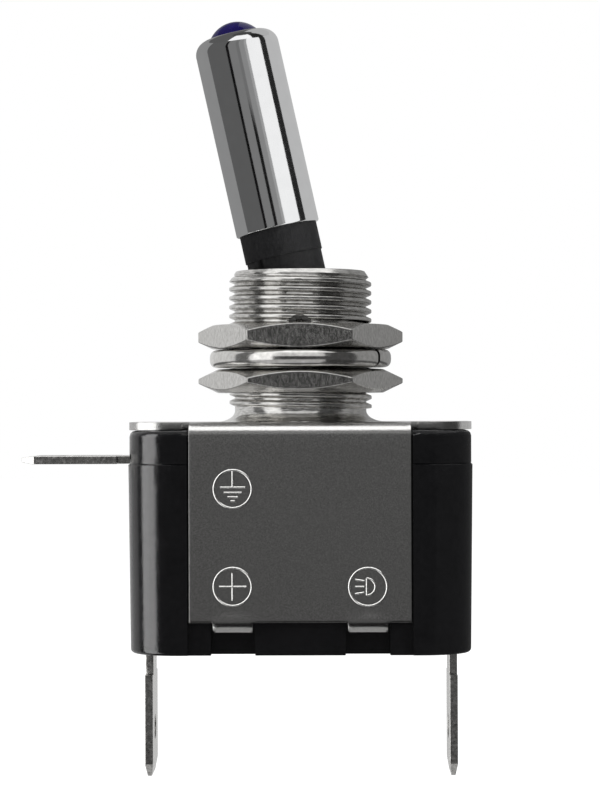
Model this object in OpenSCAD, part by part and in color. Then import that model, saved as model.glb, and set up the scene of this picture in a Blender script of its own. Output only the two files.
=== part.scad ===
// Panel toggle switch with a lamp in the lever's tip, in millimetres.
// The origin is on the neck's axis, level with the front nut's outer face, and +Z points out of the panel.
// Inside the modules, heights are measured from the top face of the frame plate.

/* [Neck] */
// Outside diameter over the thread
neck_d = 11.85; // [11.3:0.05:15]
// Depth of the thread, from crest to root
thread_depth = 0.45; // [0.3:0.05:0.5]
// Height of the neck above the frame plate
neck_h = 12.65; // [11:0.05:15.2]
// Height of the lead-in at the neck's mouth
lead_h = 0.85; // [0.3:0.05:1.2]
// Height above the plate at which the thread stops
thread_foot_h = 0.9; // [0.8:0.05:1.6]
// How far the drawn flare runs out over the plate
flare_reach = 1.6; // [0.6:0.1:2.2]
// Gap between the leaning lever and the wall of the neck
swing_gap = 0.16; // [0.1:0.02:0.3]

/* [Frame] */
// Thickness of the folded sheet
sheet_t = 0.65; // [0.5:0.05:0.9]
// How far the ends of the two ears stand back from the ends of the body
ear_back = 0.05; // [0:0.05:1]
// Depth of the two ears
ear_d = 13.6; // [12:0.1:15]
// Corner radius of the ears
ear_r = 3.5; // [1:0.1:5]
// Depth over both skirts
frame_d = 15.4; // [14:0.1:19]
// Width of a skirt
skirt_w = 17.9; // [16:0.1:20]
// Height of a skirt, down to its lower edge
skirt_h = 16.15; // [15.5:0.05:20]
// Outer radius of the bends between plate and skirts
bend_r = 1.05; // [0.9:0.05:1.5]
// Width of a bent tab
tab_w = 3.2; // [2.4:0.1:4]
// Distance between the middles of a skirt's two tabs
tab_pitch = 10.9; // [9:0.1:13]
// How far a tab reaches in from the skirt's outer face
tab_reach = 1.9; // [1.5:0.05:2.2]
// Outer radius of the bend at a tab
tab_bend_r = 0.9; // [0.9:0.05:1.2]

/* [Nuts and washer] */
// Width across the flats of the nuts
nut_af = 14.8; // [14.2:0.1:19]
// Thickness of a nut
nut_t = 1.95; // [1.6:0.05:2.4]
// Diameter of the front nut's chamfer circle
front_chamfer_d = 14.7; // [13.6:0.1:16]
// Diameter of the back nut's chamfer circle
back_chamfer_d = 13.8; // [13.4:0.1:16]
// Slope of the nuts' chamfers, in degrees
nut_slope = 26; // [15:1:32]
// Height of the front nut's outer face above the plate
nut_face_h = 8; // [7.6:0.05:9.5]
// Outside diameter of the split washer
washer_d = 15.1; // [14.6:0.1:18]
// Thickness of the split washer
washer_t = 1.6; // [1.2:0.05:1.9]
// Corner radius of the washer's rounded section
washer_r = 0.55; // [0.2:0.05:0.55]
// Width of the split
split_w = 0.3; // [0.2:0.05:1]

/* [Moulded body] */
// Width of the base at its top
body_w = 28.2; // [25:0.1:36]
// How far the ends of the cover stand back from the base's
cover_back = 0.1; // [0:0.05:0.4]
// Height of the cover
cover_h = 2.75; // [2.4:0.05:3.4]
// Corner radius of the body
body_r = 4; // [2:0.1:5]
// How much narrower the base is at its foot
draft = 0.3; // [0:0.05:0.6]
// Depth of the base below the bent tabs
foot_h = 1.8; // [1:0.05:3]
// Rounding of the cover's top edge
cover_edge_r = 0.5; // [0.2:0.05:0.8]
// Thickness of the body's end walls
end_wall = 2.7; // [2.3:0.05:3]
// Thickness of the body's long walls behind the skirts
side_wall = 1.8; // [1.5:0.05:2]
// Depth of the cavity's floor below the plate's top face
floor_h = 14; // [13.8:0.05:14.4]

/* [Lever] */
// Lean of the lever to either side, in degrees
lean = 12.5; // [10:0.5:15]
// Height of the pivot above the plate
pivot_h = 7.7; // [7.4:0.05:8.4]
// Diameter of the pivot pin
pin_d = 1.4; // [1:0.05:1.6]
// Diameter of the recess over each end of the pin
pin_recess_d = 2; // [1.7:0.05:2.4]
// Diameter of the stem
stem_d = 6.3; // [5.8:0.05:6.6]
// Diameter of the collar under the sleeve
collar_d = 6.5; // [6.2:0.05:6.8]
// Length of the collar
collar_len = 2.5; // [1:0.1:2.6]
// Diameter of the lower arm
arm_d = 4.4; // [4.2:0.05:4.7]
// Outside diameter of the sleeve
sleeve_d = 7; // [6.9:0.05:8]
// Length of the sleeve
sleeve_len = 16.37; // [14:0.05:21]
// Distance of the sleeve's lower edge from the pivot
sleeve_up = 8.7; // [8.4:0.05:11]
// Wall of the sleeve
sleeve_wall = 0.5; // [0.4:0.05:0.55]
// Outer radius of the sleeve's shoulder
shoulder_r = 1.2; // [0.6:0.05:1.3]

/* [Lamp] */
// Diameter of the lamp's body
lamp_d = 5; // [4.6:0.1:5.2]
// Height of the lamp
lamp_h = 8.6; // [7.6:0.1:9]
// How far the dome stands out of the sleeve
lamp_proud = 1.12; // [0.7:0.02:1.4]
// Diameter of the lamp's flange
flange_d = 5.8; // [5.4:0.05:5.85]
// Thickness of the flange
flange_t = 1; // [0.8:0.1:1.2]
// Distance between the lamp's two legs
leg_pitch = 2.54; // [2.3:0.02:2.6]
// Width of a square leg
leg_w = 0.5; // [0.4:0.05:0.5]
// Diameter of the resistor's barrel
resistor_d = 1.7; // [1.4:0.05:1.8]
// Length of the resistor's barrel
resistor_len = 3.4; // [3:0.1:3.8]
// Outside diameter of the flexible leads
wire_d = 0.7; // [0.5:0.05:0.7]

/* [Contacts] */
// Depth of the rocker's pivot edge below the plate's top face
fulcrum_h = 9.6; // [9.4:0.05:9.8]
// Tilt of the rocker to either side, in degrees
rocker_tilt = 8; // [7:0.5:9]
// Thickness of the rocker
rocker_t = 0.9; // [0.7:0.05:1]
// Width of the rocker
rocker_w = 5; // [4:0.1:5.4]
// Length of the rocker over both ends
rocker_len = 18; // [17.4:0.1:18.4]
// Distance of the contact rivets from the pivot edge
contact_x = 7.4; // [7:0.1:7.5]
// Diameter of the contact rivets' heads
contact_d = 2.8; // [2.2:0.1:2.9]
// Diameter of the plunger
plunger_d = 2.6; // [2.2:0.05:2.7]
// Radius of the plunger's nose
nose_r = 0.9; // [0.7:0.05:1]
// How far the centre of the nose stands out of the lower arm
nose_out = 3.15; // [2.6:0.05:3.6]
// Diameter of the spring's wire
spring_wire = 0.3; // [0.2:0.05:0.35]
// Working turns of the spring
spring_turns = 7; // [5:1:8]

/* [Terminals] */
// Width of a blade
blade_w = 6.3; // [5.5:0.1:6.5]
// Thickness of a blade
blade_t = 0.66; // [0.6:0.02:0.8]
// Width of a terminal's stem
blade_stem_w = 4.2; // [3.4:0.1:4.6]
// Length of the lower blades, from shoulder to tip
blade_len = 8.4; // [7.5:0.05:10]
// Length of the ground blade, from shoulder to tip
ground_len = 7.95; // [7.5:0.05:10]
// How far the lower blades' shoulders stand below the base
shoulder_drop = 1.97; // [1:0.01:3]
// How far the ground blade's shoulder stands out from the base
ground_out = 1; // [0.6:0.05:2]
// Distance of the lower blades' outer faces from the body's side
blade_inset = 1.24; // [1:0.02:1.4]
// Diameter of the blades' locating holes
hole_d = 2.1; // [1.6:0.05:2.4]
// Distance of a hole from the blade's tip
hole_up = 3.85; // [3:0.05:4.5]

/* [Hidden] */
$fn = 96;

// named clearances
seat = 0.03; // between pieces that lie on each other
slide = 0.05; // radial, between pieces that turn or slide in each other
slot_gap = 0.06; // around a terminal in its slot
far = 60; // longer than anything here

// frame
top_z = -nut_face_h;
plate_w = body_w - 2 * ear_back;
skin_y = frame_d / 2; // outer face of a skirt
inner_y = skin_y - sheet_t; // inner face of a skirt
fold_r = bend_r - sheet_t; // inside radius of the bends at the plate
tab_foot = skirt_h + tab_bend_r;
relief_w = 0.6;
relief_d = 1.2;

// neck
neck_r = neck_d / 2;
root_r = neck_r - thread_depth;
mouth_need = (neck_h - pivot_h) * tan(lean) + stem_d / 2 / cos(lean);
foot_need = (pivot_h + sheet_t) * tan(lean) + arm_d / 2 / cos(lean);
bore_r = max(mouth_need, foot_need) + swing_gap;
draw_r = 0.5; // inside radius where the neck is drawn out of the plate

// nuts and washer, from the outer face down
stack_gap = 0.05;
front_nut_h = nut_face_h - nut_t;
washer_h = front_nut_h - stack_gap - washer_t;
back_nut_h = washer_h - stack_gap - nut_t;
nut_bore_r = root_r + slide;
washer_bore_r = neck_r + 0.15;
split_angle = -30; // the split shows at the front, right of the middle

// body
cover_top = -sheet_t - seat;
parting = cover_top - cover_h;
cover_w = body_w - 2 * cover_back;
base_foot = -tab_foot - foot_h;
wall_y = inner_y - seat; // face of the body behind a skirt
cavity_x = body_w / 2 - end_wall;
cavity_y = wall_y - side_wall;
cavity_r = 1.5;
web_t = 1.2; // the cover's own thickness over the cavity
web_hole_r = (pivot_h - cover_top + web_t) * tan(lean) + arm_d / 2 / cos(lean) + 0.6;
skirt_gap = 0.15;
tab_gap = 0.2;

// lever, along its own axis from the pivot
sleeve_r = sleeve_d / 2;
sleeve_bore_r = sleeve_r - sleeve_wall;
sleeve_end = sleeve_up + sleeve_len;
lamp_seat = sleeve_end + lamp_proud - lamp_h;
core_r = sleeve_bore_r - slide;
collar_foot = sleeve_up - collar_len;
leg_x = leg_pitch / 2;
leg_bore_r = leg_w / 2 * sqrt(2) + 0.06;
exit_top = -pin_d / 2 - 0.4;
leg_foot = exit_top - 0.25;
exit_foot = leg_foot - wire_d - 0.35;
resistor_bore_r = resistor_d / 2 + 0.1;
resistor_foot = 9.2;
resistor_top = resistor_foot + resistor_len;
joint_gap = 0.7; // length of resistor wire above its barrel
waist_top = exit_foot + 0.2; // the stem narrows to the lower arm below this
waist_foot = waist_top - 0.9;

// plunger and spring, from the pivot down
plunger_r = plunger_d / 2;
plunger_bore_r = plunger_r + slide;
bore_end = 3; // depth at which the bore in the lower arm stops
spring_len = 5.6;
plunger_top = bore_end + spring_len;
spigot_len = 1.2;
spigot_r = plunger_r - spring_wire - 0.25;

// rocker, about its pivot edge
edge_r = blade_t / 2;
web_lift = 0.12; // the rocker's underside lies this far above the edge's centre
trough_gap = 0.12;
drop = pivot_h + fulcrum_h; // from the lever's pivot to the rocker's
nose_len = drop - web_lift - rocker_t - trough_gap - nose_r;
arm_len = nose_len - nose_out;
nose_x = nose_len * sin(lean);
nose_z = drop - nose_len * cos(lean);
side_x = nose_x * cos(rocker_tilt) - nose_z * sin(rocker_tilt);
side_z = nose_x * sin(rocker_tilt) + nose_z * cos(rocker_tilt);
rise = side_z - (drop - nose_len);
path_r = (side_x * side_x + rise * rise) / (2 * rise);
trough_r = path_r + nose_r + trough_gap;
trough_z = drop - nose_len + path_r;
trough_x = side_x + nose_r + 0.5;
arm_top = trough_z - sqrt(trough_r * trough_r - trough_x * trough_x);
arm_foot = arm_top - rocker_t;

// contacts
head_h = 0.7;
shank_r = 0.7;
tail_r = 1;
tail_h = 0.25;
rivet_gap = 0.03;
dome_r = 5;
dome_h = dome_r - sqrt(dome_r * dome_r - contact_d * contact_d / 4);
face_z = arm_foot - head_h;
closed_x = contact_x * cos(rocker_tilt) + face_z * sin(rocker_tilt);
closed_z = -contact_x * sin(rocker_tilt) + face_z * cos(rocker_tilt);
contact_gap = 0.08;
fixed_top = -fulcrum_h + closed_z + dome_r - (dome_r + contact_gap) / cos(rocker_tilt);
load_top = fixed_top - dome_h - head_h;
stop_x = rocker_len / 2;
stop_top = -fulcrum_h - stop_x * sin(rocker_tilt) + arm_foot * cos(rocker_tilt) - 0.15;

// terminals
blade_x = body_w / 2 - blade_inset; // outer face of a lower blade
strip_bend_r = blade_t + 0.3;
shoulder_z = base_foot - shoulder_drop;
ground_x = body_w / 2 + ground_out;
ground_in = cavity_x - 3.4;
anchor_w = 5.4;
strip_floor = -floor_h;
load_floor = load_top - blade_t;
tip_flat = 0.36; // thickness left at a blade's tip
tip_bevel = 1;
tip_corner = 1.1;

// routes of the flexible leads: the first points lie in the leaning lever, the rest in the body
wire_foot = leg_foot - wire_d / 2;
ground_start = [[-leg_x, 0, wire_foot], [-leg_x, -1.6, wire_foot], [-1.2, -3.05, wire_foot - 0.15]];
ground_rest = [[-0.6, -3.75, 2.5], [-0.2, -3.8, 0], [-0.6, -3.9, -2.6], [-3, -4, -4.8], [-6.4, -3.7, -5.2],
    [2 - cavity_x, -3, parting - 1.6], [1.8 - cavity_x, -2.3, parting - 0.8],
    [1.8 - cavity_x, -2.2, parting - 0.05]];
lamp_start = [[leg_x, 0, wire_foot], [leg_x, 1.6, wire_foot], [1.2, 3.05, wire_foot - 0.15]];
lamp_rest = [[1.1, 3.75, 2.5], [1, 3.8, 0], [1.2, 4, -2.6], [3, 4.4, -5.4], [7, 4.5, -7.6],
    [cavity_x - 1.1, 3.6, load_top + 1.8], [cavity_x - 1, 1.7, load_top + 0.9],
    [cavity_x - 1, 1.3, load_top + 0.02]];

function unit(v) = v / norm(v);
function leaning(p) =
    [p[0] * cos(lean) - p[2] * sin(lean), p[1], pivot_h + p[0] * sin(lean) + p[2] * cos(lean)];
function arc(centre, r, from, to, steps) =
    [for (i = [0 : steps]) let(a = from + (to - from) * i / steps) centre + r * [cos(a), sin(a)]];

// a smooth curve through points, with steps stretches between each two
function through(p, steps) = concat(
    [for (i = [0 : len(p) - 2], s = [0 : steps - 1])
        let(a = p[max(i - 1, 0)], b = p[i], c = p[i + 1], d = p[min(i + 2, len(p) - 1)], t = s / steps)
        0.5 * (2 * b + (c - a) * t + (2 * a - 5 * b + 4 * c - d) * t * t
            + (3 * b - 3 * c + d - a) * t * t * t)],
    [p[len(p) - 1]]);
ground_route = through(concat([for (p = ground_start) leaning(p)], ground_rest), 4);
lamp_route = through(concat([for (p = lamp_start) leaning(p)], lamp_rest), 4);
function heading(p) = [for (i = [0 : len(p) - 1]) unit(p[min(i + 1, len(p) - 1)] - p[max(i - 1, 0)])];
function carried(dirs, side, i = 0, out = []) = i == len(dirs) ? out
    : let(n = unit(side - (side * dirs[i]) * dirs[i])) carried(dirs, n, i + 1, concat(out, [n]));

// a round wire along points, as one closed skin
module wire(points, d, sides = 8) {
    dirs = heading(points);
    across = carried(dirs, unit(cross(dirs[0], [0.3, 0.9, 0.35])));
    rings = [for (i = [0 : len(points) - 1], k = [0 : sides - 1])
        let(n = across[i], b = cross(dirs[i], n), a = 360 * k / sides)
        points[i] + d / 2 * (cos(a) * n + sin(a) * b)];
    last = (len(points) - 1) * sides;
    skin = [for (i = [0 : len(points) - 2], k = [0 : sides - 1])
        let(a = i * sides + k, b = i * sides + (k + 1) % sides)
        each [[a, a + sides, b + sides], [a, b + sides, b]]];
    ends = [[for (k = [0 : sides - 1]) k], [for (k = [sides - 1 : -1 : 0]) last + k]];
    polyhedron(rings, concat(skin, ends));
}

module on_plate() {
    translate([0, 0, top_z]) children();
}

// the lever's own axes, leaning to -X
module on_lever() {
    translate([0, 0, top_z + pivot_h]) rotate([0, -lean, 0]) children();
}

// the rocker's own axes, tipped down at +X
module on_rocker() {
    translate([0, 0, top_z - fulcrum_h]) rotate([0, rocker_tilt, 0]) children();
}

module rounded(w, d, r) {
    square([w, d - 2 * r], center = true);
    square([w - 2 * r, d], center = true);
    for (x = [-1, 1], y = [-1, 1])
        translate([x * (w / 2 - r), y * (d / 2 - r)]) circle(r = r);
}

// a quarter of a bent strip: it enters downwards at [0, 0] and leaves along +X
module elbow(r, t) {
    translate([r, 0]) intersection() {
        difference() {
            circle(r = r);
            circle(r = r - t);
        }
        translate([-r, -r]) square(r);
    }
}

// ---- frame ----

// a skirt with its bend, in the plane of depth and height, for the side at +Y
module skirt_profile() {
    translate([0, -sheet_t]) square([skin_y - bend_r, sheet_t]);
    translate([skin_y - bend_r, -bend_r]) intersection() {
        difference() {
            circle(r = bend_r);
            circle(r = fold_r);
        }
        square(bend_r);
    }
    translate([inner_y, -skirt_h]) square([sheet_t, skirt_h - bend_r]);
}

module tab_profile() {
    translate([skin_y, -skirt_h]) mirror([1, 0]) elbow(tab_bend_r, sheet_t);
    translate([skin_y - tab_reach, -tab_foot]) square([tab_reach - tab_bend_r, sheet_t]);
}

module along_x(length) {
    rotate([90, 0, 90]) translate([0, 0, -length / 2]) linear_extrude(length) children();
}

module flare_profile() {
    flare_r = root_r + flare_reach;
    polygon(concat(
        [[bore_r - 0.2, thread_foot_h], [bore_r - 0.2, -sheet_t], [flare_r, -sheet_t], [flare_r, 0]],
        [for (i = [1 : 8])
            [flare_r - flare_reach * sin(90 * i / 8), thread_foot_h * (1 - cos(90 * i / 8))]]));
}

module neck_profile() {
    polygon(concat(
        [[bore_r - 0.2, 0], [root_r, 0], [root_r, thread_foot_h], [neck_r, thread_foot_h + 0.2],
        [neck_r, back_nut_h - stack_gap], [root_r, back_nut_h - stack_gap],
        [root_r, washer_h], [neck_r, washer_h],
        [neck_r, front_nut_h - stack_gap], [root_r, front_nut_h - stack_gap],
        [root_r, nut_face_h + stack_gap], [neck_r, nut_face_h + stack_gap],
        [neck_r, neck_h - lead_h], [neck_r - 0.58, neck_h], [bore_r - 0.2, neck_h]]));
}

module neck_bore() {
    translate([0, 0, -far / 2]) cylinder(r = bore_r, h = far);
    translate([0, 0, neck_h - 0.25]) cylinder(r1 = bore_r, r2 = bore_r + 0.35, h = 0.35);
    translate([0, 0, -sheet_t]) rotate_extrude() polygon(concat(
        [[bore_r - 0.1, -0.1], [bore_r + draw_r, -0.1]],
        arc([bore_r + draw_r, draw_r], draw_r, 270, 180, 6), [[bore_r - 0.1, draw_r]]));
}

module bracket() {
    color("silver") on_plate() difference() {
        union() {
            translate([0, 0, -sheet_t]) linear_extrude(sheet_t) rounded(plate_w, ear_d, ear_r);
            for (side = [0, 1]) mirror([0, side, 0]) {
                along_x(skirt_w) skirt_profile();
                for (x = [-1, 1]) translate([x * tab_pitch / 2, 0, 0]) along_x(tab_w) tab_profile();
            }
            rotate_extrude() neck_profile();
            // the flare runs into the bends, and no further
            intersection() {
                rotate_extrude() flare_profile();
                cube([far, 2 * (skin_y - bend_r), far], center = true);
            }
        }
        neck_bore();
        // reliefs beside the bends
        for (x = [-1, 1], y = [-1, 1])
            translate([x * (skirt_w + relief_w) / 2, y * (ear_d / 2 - relief_d / 2 + 0.5), 0])
                cube([relief_w, relief_d + 1, 4 * sheet_t], center = true);
        // holes for the pivot pin, each with a recess over the pin's end
        translate([0, 0, pivot_h]) rotate([90, 0, 0]) {
            cylinder(d = pin_d + 0.02, h = far, center = true);
            for (side = [0, 1]) mirror([0, 0, side])
                translate([0, 0, bore_r + 0.5]) cylinder(d = pin_recess_d, h = neck_r);
        }
    }
}

module pivot_pin() {
    half = bore_r + 0.7;
    r = pin_d / 2;
    color("gray") on_plate() translate([0, 0, pivot_h]) rotate([90, 0, 0]) rotate_extrude() polygon(
        [[0, -half], [r - 0.2, -half], [r, 0.2 - half], [r, half - 0.2], [r - 0.2, half], [0, half]]);
}

// ---- nuts and washer ----

module hex_nut(chamfer_d) {
    corner_r = nut_af / sqrt(3);
    fall = (corner_r + 1 - chamfer_d / 2) * tan(nut_slope);
    mid = nut_t / 2;
    difference() {
        intersection() {
            cylinder(r = corner_r, h = nut_t, $fn = 6);
            rotate_extrude() polygon([[0, 0], [chamfer_d / 2, 0], [corner_r + 1, min(fall, mid - 0.05)],
                [corner_r + 1, nut_t - min(fall, mid - 0.05)], [chamfer_d / 2, nut_t], [0, nut_t]]);
        }
        translate([0, 0, -1]) cylinder(r = nut_bore_r, h = nut_t + 2);
        translate([0, 0, -0.01]) cylinder(r1 = nut_bore_r + 0.3, r2 = nut_bore_r - 0.05, h = 0.35);
        translate([0, 0, nut_t - 0.34]) cylinder(r1 = nut_bore_r - 0.05, r2 = nut_bore_r + 0.3, h = 0.35);
    }
}

module front_nut() {
    color("lightgray") on_plate() translate([0, 0, front_nut_h]) hex_nut(front_chamfer_d);
}

module back_nut() {
    color("lightgray") on_plate() translate([0, 0, back_nut_h]) hex_nut(back_chamfer_d);
}

module lock_washer() {
    band = washer_d / 2 - washer_bore_r;
    gap = split_w / (washer_d / 2) * 180 / PI;
    color("lightgray") on_plate() translate([0, 0, washer_h]) rotate([0, 0, split_angle + gap / 2])
        rotate_extrude(angle = 360 - gap)
            translate([washer_bore_r + band / 2, washer_t / 2])
                rounded(band, washer_t, min(washer_r, band / 2.2));
}

// ---- moulded body ----

module cover() {
    color("#1b1b1d") on_plate() difference() {
        union() {
            translate([0, 0, parting])
                linear_extrude(cover_h - cover_edge_r) rounded(cover_w, frame_d, body_r, $fn = 32);
            hull() for (i = [0 : 3]) {
                turn = 90 * i / 3;
                in = cover_edge_r * (1 - cos(turn));
                translate([0, 0, parting + cover_h - cover_edge_r * (1 - sin(turn)) - 0.01])
                    linear_extrude(0.01) rounded(cover_w - 2 * in, frame_d - 2 * in, body_r - in, $fn = 32);
            }
        }
        skirt_recess();
        // room for the inside of the bends
        for (side = [0, 1]) mirror([0, side, 0]) along_x(skirt_w + 2 * skirt_gap)
            translate([wall_y, cover_top])
                polygon([[-fold_r, 0.1], [-fold_r, 0], [0, -fold_r], [1, -fold_r], [1, 0.1]]);
        translate([0, 0, parting - 1])
            linear_extrude(cover_h - web_t + 1) rounded(2 * cavity_x, 2 * cavity_y, cavity_r);
        translate([0, 0, parting]) cylinder(r = web_hole_r, h = far);
        // slot for the ground terminal
        translate([-far / 2, -blade_stem_w / 2 - slot_gap, parting - 1])
            cube([far / 2, blade_stem_w + 2 * slot_gap, blade_t + slot_gap + 1]);
    }
}

// the shallow recess in both long faces that the skirts lie in
module skirt_recess() {
    for (side = [0, 1]) mirror([0, side, 0])
        translate([-skirt_w / 2 - skirt_gap, wall_y, -far]) cube([skirt_w + 2 * skirt_gap, far, 2 * far]);
}

module tab_pockets() {
    reach = tab_reach + tab_gap - (skin_y - wall_y);
    for (side = [0, 1], x = [-1, 1]) mirror([0, side, 0])
        translate([x * tab_pitch / 2 - tab_w / 2 - tab_gap, wall_y - reach, base_foot - 1])
            cube([tab_w + 2 * tab_gap, reach + 5, foot_h + sheet_t + seat + 1]);
}

// the upright slot of a lower terminal and the pocket in which it bends inwards
module terminal_slot(bend_foot) {
    w = blade_stem_w + 2 * slot_gap;
    translate([blade_x - blade_t - slot_gap, -w / 2, base_foot - 1])
        cube([blade_t + 2 * slot_gap, w, bend_foot - base_foot + 1 + strip_bend_r]);
    translate([cavity_x - 0.5, -w / 2, bend_foot])
        cube([blade_x + slot_gap - cavity_x + 0.5, w, strip_bend_r + slot_gap]);
}

module base() {
    low = draft / 2;
    ledge_z = strip_floor + blade_t + 0.4;
    ledge_end = -stop_x * cos(rocker_tilt) + 1;
    color("#151517") on_plate() difference() {
        hull() {
            translate([0, 0, parting - 0.01]) linear_extrude(0.01) rounded(body_w, frame_d, body_r, $fn = 48);
            translate([0, 0, base_foot]) linear_extrude(0.01)
                rounded(body_w - draft, frame_d - low, body_r - low / 2, $fn = 48);
        }
        skirt_recess();
        tab_pockets();
        difference() {
            translate([0, 0, strip_floor]) linear_extrude(far) rounded(2 * cavity_x, 2 * cavity_y, cavity_r);
            // raised floor under the fixed contact, and the ledge that stops the rocker's other end
            translate([closed_x - 2.8, -far / 2, -far]) cube([far, far, far + load_floor]);
            translate([-cavity_x - 1, -rocker_w / 2, ledge_z])
                cube([ledge_end + cavity_x + 1, rocker_w, stop_top - ledge_z]);
        }
        terminal_slot(load_floor);
        mirror([1, 0, 0]) terminal_slot(strip_floor);
    }
}

// ---- terminals ----

// a blade in the plane of width and height, with its shoulder at height 0 and its tip below
module blade_outline(length, stem) {
    half = blade_w / 2;
    difference() {
        union() {
            polygon([[-half, 0], [-half, tip_corner - length], [tip_corner - half, -length],
                [half - tip_corner, -length], [half, tip_corner - length], [half, 0]]);
            translate([-blade_stem_w / 2, -0.1]) square([blade_stem_w, stem + 0.1]);
        }
        translate([0, hole_up - length]) circle(d = hole_d);
    }
}

// the solid blade, its inner face on the plane of X = 0 and its outer face at X = blade_t
module blade(length, stem) {
    flank = (blade_t - tip_flat) / 2;
    intersection() {
        rotate([90, 0, 90]) linear_extrude(blade_t) blade_outline(length, stem);
        rotate([90, 0, 0]) translate([0, 0, -far / 2]) linear_extrude(far) polygon([
            [flank, -length], [0, tip_bevel - length], [0, far], [blade_t, far],
            [blade_t, tip_bevel - length], [blade_t - flank, -length]]);
    }
}

module strip(width) {
    rotate([90, 0, 0]) translate([0, 0, -width / 2]) linear_extrude(width) children();
}

// a lower terminal at +X: blade, stem, and a strip along the floor that ends at to_x
module lower_terminal(floor_z, to_x) {
    bend_z = floor_z + strip_bend_r;
    translate([blade_x - blade_t, 0, shoulder_z]) blade(blade_len, bend_z - shoulder_z - strip_bend_r + 0.01);
    strip(blade_stem_w) {
        translate([blade_x - blade_t, floor_z]) square([blade_t, 0.01]);
        translate([blade_x, floor_z]) mirror([1, 0]) square([strip_bend_r, blade_t]);
        translate([to_x, floor_z]) square([blade_x - strip_bend_r - to_x, blade_t]);
    }
}

module power_terminal() {
    color("#b9a878") on_plate() mirror([1, 0, 0]) {
        lower_terminal(strip_floor, 0);
        // the upright tongue whose round edge carries the rocker
        strip(blade_stem_w) {
            translate([-edge_r, strip_floor]) square([blade_t, floor_h - fulcrum_h]);
            translate([0, -fulcrum_h]) circle(r = edge_r);
        }
    }
}

module load_terminal() {
    color("#b9a878") on_plate() difference() {
        lower_terminal(load_floor, closed_x - 2);
        translate([closed_x, 0, load_floor - 1]) cylinder(r = shank_r + rivet_gap, h = blade_t + 2);
    }
}

module ground_terminal() {
    inside = ground_x - ground_in;
    color("#c9c9c9") on_plate() translate([-ground_x, 0, parting + blade_t]) rotate([0, 90, 0]) {
        blade(ground_len, inside);
        translate([0, -anchor_w / 2, ground_x - cavity_x + 0.1])
            cube([blade_t, anchor_w, cavity_x - ground_in - 0.1]);
    }
}

// ---- lever ----

module stem_profile() {
    polygon([[0, -arm_len], [arm_d / 2 - 0.2, -arm_len], [arm_d / 2, 0.2 - arm_len],
        [arm_d / 2, waist_foot], [stem_d / 2, waist_top], [stem_d / 2, collar_foot],
        [collar_d / 2, collar_foot], [collar_d / 2, sleeve_up - 0.15], [core_r, sleeve_up - 0.15],
        [core_r, lamp_seat - seat], [0, lamp_seat - seat]]);
}

module lever_stem() {
    color("#202022") on_lever() difference() {
        rotate_extrude() stem_profile();
        rotate([90, 0, 0]) cylinder(d = pin_d + 2 * slide, h = far, center = true);
        translate([0, 0, -arm_len - 1]) cylinder(r = plunger_bore_r, h = arm_len + 1 - bore_end);
        // a channel for each leg, and an exit for each lead below the pin
        for (x = [-1, 1]) {
            translate([x * leg_x, 0, exit_foot]) cylinder(r = leg_bore_r, h = far);
            translate([x * leg_x - leg_bore_r, x > 0 ? 0 : -far, exit_foot])
                cube([2 * leg_bore_r, far, exit_top - exit_foot]);
        }
        translate([leg_x, 0, resistor_foot - 0.1]) cylinder(r = resistor_bore_r, h = far);
    }
}

module lever_sleeve() {
    end_t = 0.5;
    dome = lamp_d / 2;
    out_r = sqrt(2 * dome * lamp_proud - lamp_proud * lamp_proud) + 0.06;
    deep = lamp_proud + end_t;
    in_r = sqrt(2 * dome * deep - deep * deep) + 0.06;
    color("#e6e8ea") on_lever() translate([0, 0, sleeve_up]) rotate_extrude() polygon(concat(
        [[sleeve_bore_r, 0.2], [sleeve_bore_r + 0.1, 0], [sleeve_r - 0.15, 0], [sleeve_r, 0.15]],
        arc([sleeve_r - shoulder_r, sleeve_len - shoulder_r], shoulder_r, 0, 90, 10),
        [[out_r, sleeve_len], [in_r, sleeve_len - end_t], [sleeve_bore_r - 0.3, sleeve_len - end_t],
        [sleeve_bore_r, sleeve_len - end_t - 0.3]]));
}

module lamp() {
    dome = lamp_d / 2;
    color("#4a3a8c") on_lever() translate([0, 0, lamp_seat]) {
        cylinder(d = flange_d, h = flange_t);
        cylinder(r = dome, h = lamp_h - dome);
        translate([0, 0, lamp_h - dome]) sphere(r = dome);
    }
}

module leg(x, from, to) {
    on_lever() translate([x - leg_w / 2, -leg_w / 2, from]) cube([leg_w, leg_w, to - from]);
}

module cathode_lead() {
    color("lightgray") leg(-leg_x, leg_foot, lamp_seat);
}

module anode_lead() {
    color("lightgray") leg(leg_x, resistor_top + joint_gap, lamp_seat);
}

// barrel with two raised ends and its own wires
module lamp_resistor() {
    end_w = 0.8;
    r = resistor_d / 2;
    color("tan") on_lever() translate([leg_x, 0, 0]) {
        translate([0, 0, leg_foot]) cylinder(r = leg_w / 2, h = resistor_top + joint_gap - leg_foot);
        translate([0, 0, resistor_foot]) rotate_extrude() polygon([[0, 0], [r - 0.2, 0], [r, 0.2],
            [r, end_w], [r - 0.15, end_w + 0.2], [r - 0.15, resistor_len - end_w - 0.2],
            [r, resistor_len - end_w], [r, resistor_len - 0.2], [r - 0.2, resistor_len], [0, resistor_len]]);
    }
}

module ground_wire() {
    color("black") on_plate() wire(ground_route, wire_d);
}

module lamp_wire() {
    color("firebrick") on_plate() wire(lamp_route, wire_d);
}

module plunger() {
    shank_foot = nose_len - 1.4;
    color("#d8d0b8") on_lever() mirror([0, 0, 1]) rotate_extrude() polygon(concat(
        [[0, plunger_top - spigot_len], [spigot_r, plunger_top - spigot_len], [spigot_r, plunger_top],
        [plunger_r, plunger_top], [plunger_r, shank_foot], [nose_r, nose_len]],
        arc([0, nose_len], nose_r, 0, 90, 8)));
}

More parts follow.
